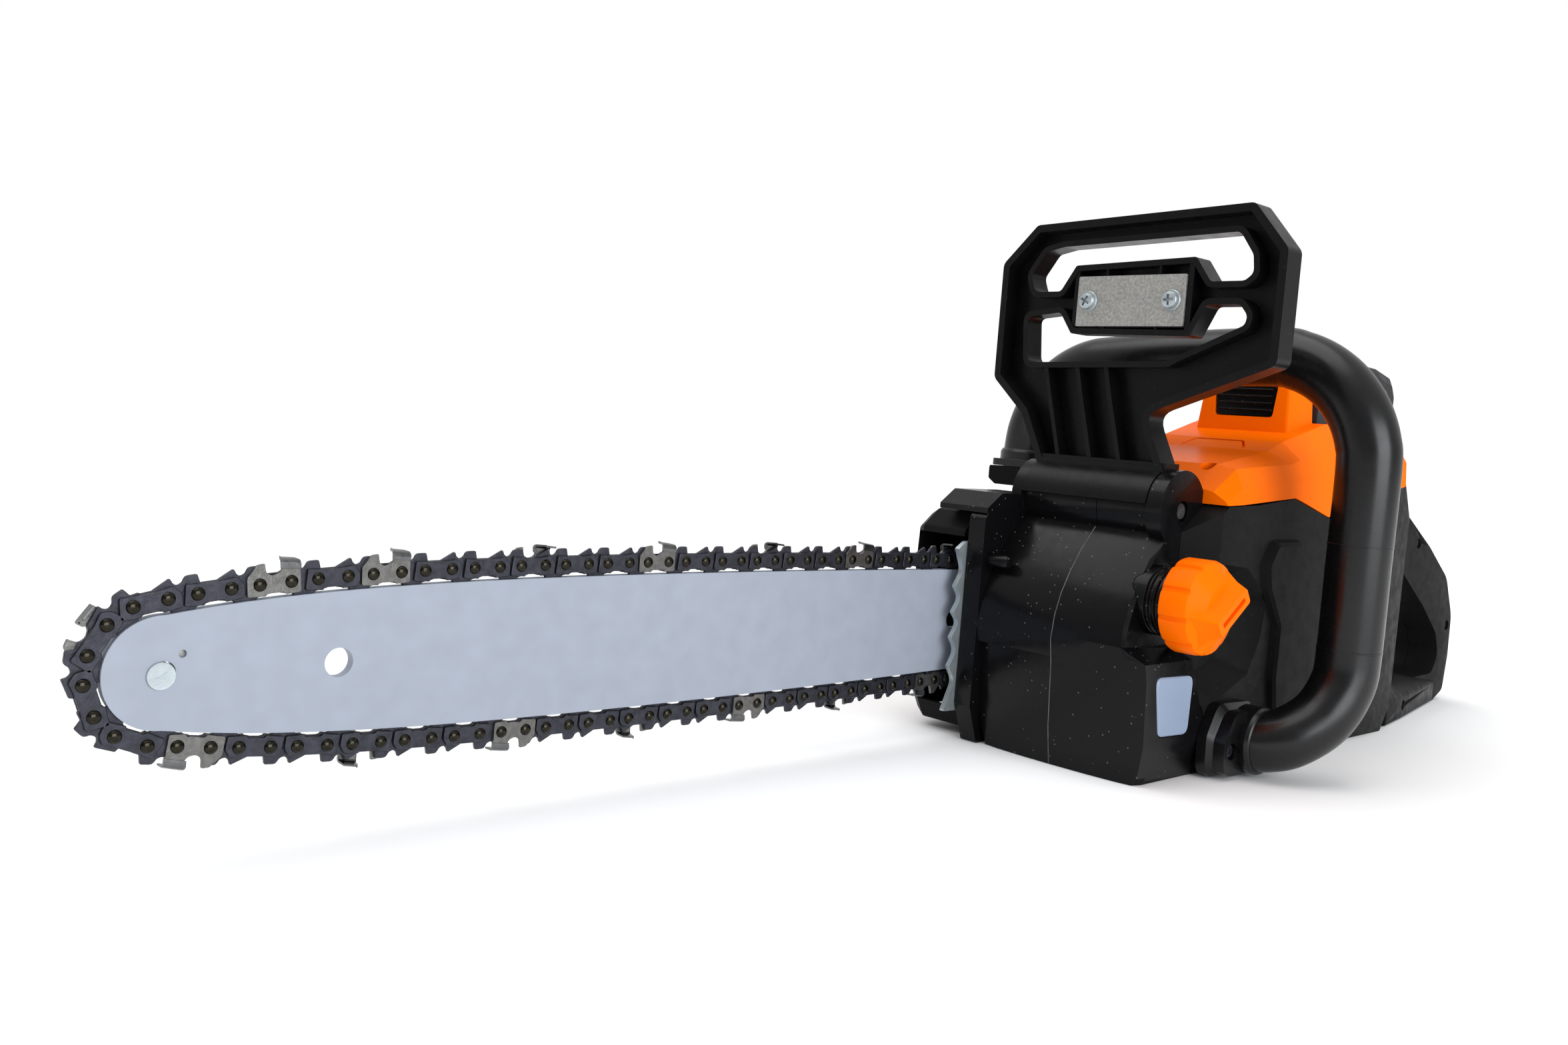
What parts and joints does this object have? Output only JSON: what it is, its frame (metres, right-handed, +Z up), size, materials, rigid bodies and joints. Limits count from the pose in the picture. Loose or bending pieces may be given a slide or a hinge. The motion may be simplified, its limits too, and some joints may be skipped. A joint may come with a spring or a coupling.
{
  "type": "chainsaw",
  "caption": "Cordless chainsaw with a guide bar, cutting chain, hinged front hand guard, tube front handle, oil cap and a removable battery pack.",
  "frame": {"origin": "on the flat base, under the drive sprocket's axis, at the casing's parting line", "axes": "+X from the bar's tip to the rear handle, +Y to the user's right, +Z up from the base"},
  "size_m": [0.7977, 0.2161, 0.254],
  "materials": {
    "bar_paint": "satin blue-grey enamel",
    "steel": "machined",
    "zinc": "bright zinc plate",
    "chain_steel": "blued steel, oiled",
    "dark_plastic": "moulded, fine grain",
    "copper": "copper",
    "alloy": "die cast",
    "gloss_black": "gloss moulded nylon",
    "black_plastic": "satin moulded nylon",
    "orange_plastic": "semi-gloss moulded",
    "grey_plastic": "moulded, fine grain",
    "handle_black": "satin moulded tube",
    "guard_black": "satin moulded, light scuffs",
    "raw_steel": "raw rolled plate",
    "tank_plastic": "translucent polyethylene",
    "seal_rubber": "moulded",
    "window_plastic": "translucent, pale blue-grey",
    "board_green": "coated board"
  },
  "bodies": {
    "case": {"guide_bar": "bar_paint", "nose_rivet": "zinc", "saw_chain": "chain_steel", "spindle_bearing_inner": "zinc", "spindle_bearing_outer": "zinc", "motor_stator": "copper", "motor_bearing_left": "zinc", "motor_bearing_right": "zinc", "gear_plate": "alloy", "brake_band": "steel", "brake_lever": "steel", "oil_pump": "alloy", "front_housing_left": "gloss_black", "front_housing_right": "gloss_black", "case_left": "black_plastic", "case_right": "black_plastic", "top_cover": "orange_plastic", "terminal_block": "copper", "sprocket_cover": "black_plastic", "bar_stud_1": "steel", "bar_stud_2": "steel", "spiked_bumper": "zinc", "bumper_screw_1": "steel", "bumper_screw_2": "steel", "front_handle_tube": "handle_black", "handle_foot_left": "black_plastic", "handle_foot_right": "black_plastic", "rear_handle_left": "black_plastic", "rear_handle_right": "black_plastic", "trigger_pin": "steel", "power_switch": "dark_plastic", "guard_pivot_pin": "steel", "oil_tank": "tank_plastic", "oil_neck": "gloss_black", "oil_window": "window_plastic", "heat_sink": "alloy", "control_board": "board_green"},
    "guard": {"front_guard": "guard_black", "guard_plate": "raw_steel", "guard_screw_1": "zinc", "guard_screw_2": "zinc"},
    "cap_carrier": {"cap_seal": "seal_rubber"},
    "cap": {"oil_cap": "orange_plastic"},
    "battery_pack": {"battery": "grey_plastic"},
    "release": {"battery_release": "gloss_black"},
    "trigger_lever": {"trigger": "black_plastic"},
    "lock_off": {"lock_off_button": "orange_plastic"},
    "drive": {"spindle": "steel", "drive_gear": "steel", "brake_drum": "steel", "drive_sprocket": "steel", "sprocket_washer": "zinc", "pump_worm": "steel"},
    "rotor": {"motor_shaft": "steel", "motor_rotor": "steel", "motor_pinion": "steel", "cooling_fan": "dark_plastic"},
    "nose": {"nose_sprocket": "steel"},
    "tension_wheel": {"tension_ring": "dark_plastic"},
    "knob": {"clamp_knob": "orange_plastic"}
  },
  "joints": [
    {"name": "guard_tilt", "type": "hinge", "parent": "case", "child": "guard", "pos_m": [-0.062, 0, 0.1195], "axis": [0, -1, 0], "range_deg": [0, 20]},
    {"name": "cap_lift", "type": "slide", "parent": "case", "child": "cap_carrier", "axis": [0, -1, 0], "range_m": [0, 0.0085]},
    {"name": "cap_turn", "type": "hinge", "parent": "cap_carrier", "child": "cap", "pos_m": [-0.077, -0.055, 0.08], "axis": [0, -1, 0], "range_deg": [0, 720]},
    {"name": "battery_slide", "type": "slide", "parent": "case", "child": "battery_pack", "axis": [1, 0, 0], "range_m": [0, 0.12]},
    {"name": "release_press", "type": "slide", "parent": "case", "child": "release", "axis": [1, 0, 0], "range_m": [0, 0.004], "stiffness_N_per_m": 900},
    {"name": "trigger_pull", "type": "hinge", "parent": "case", "child": "trigger_lever", "pos_m": [0.204, 0, 0.1015], "axis": [0, -1, 0], "range_deg": [0, 8], "stiffness_Nm_per_rad": 1.2},
    {"name": "lock_off_press", "type": "slide", "parent": "case", "child": "lock_off", "axis": [-0.4961, 0, -0.8682], "range_m": [0, 0.003], "stiffness_N_per_m": 700},
    {"name": "spindle_spin", "type": "hinge", "parent": "case", "child": "drive", "pos_m": [0, 0, 0.057], "axis": [0, 1, 0], "continuous": true},
    {"name": "motor_spin", "type": "hinge", "parent": "case", "child": "rotor", "pos_m": [0.054, 0, 0.07], "axis": [0, 1, 0], "continuous": true},
    {"name": "nose_spin", "type": "hinge", "parent": "case", "child": "nose", "pos_m": [-0.467, 0.0633, 0.057], "axis": [0, 1, 0], "continuous": true},
    {"name": "tension_turn", "type": "hinge", "parent": "case", "child": "tension_wheel", "pos_m": [-0.07, 0.09, 0.057], "axis": [0, 1, 0], "range_deg": [0, 180]},
    {"name": "clamp_turn", "type": "hinge", "parent": "case", "child": "knob", "pos_m": [-0.07, 0.09, 0.057], "axis": [0, 1, 0], "range_deg": [0, 360]}
  ],
  "couplings": [
    {"joint": "motor_spin", "follows": "spindle_spin", "ratio": -4.2857},
    {"joint": "nose_spin", "follows": "spindle_spin", "ratio": 0.66667},
    {"joint": "cap_lift", "follows": "cap_turn", "m_per_rad": 0.00063662}
  ]
}
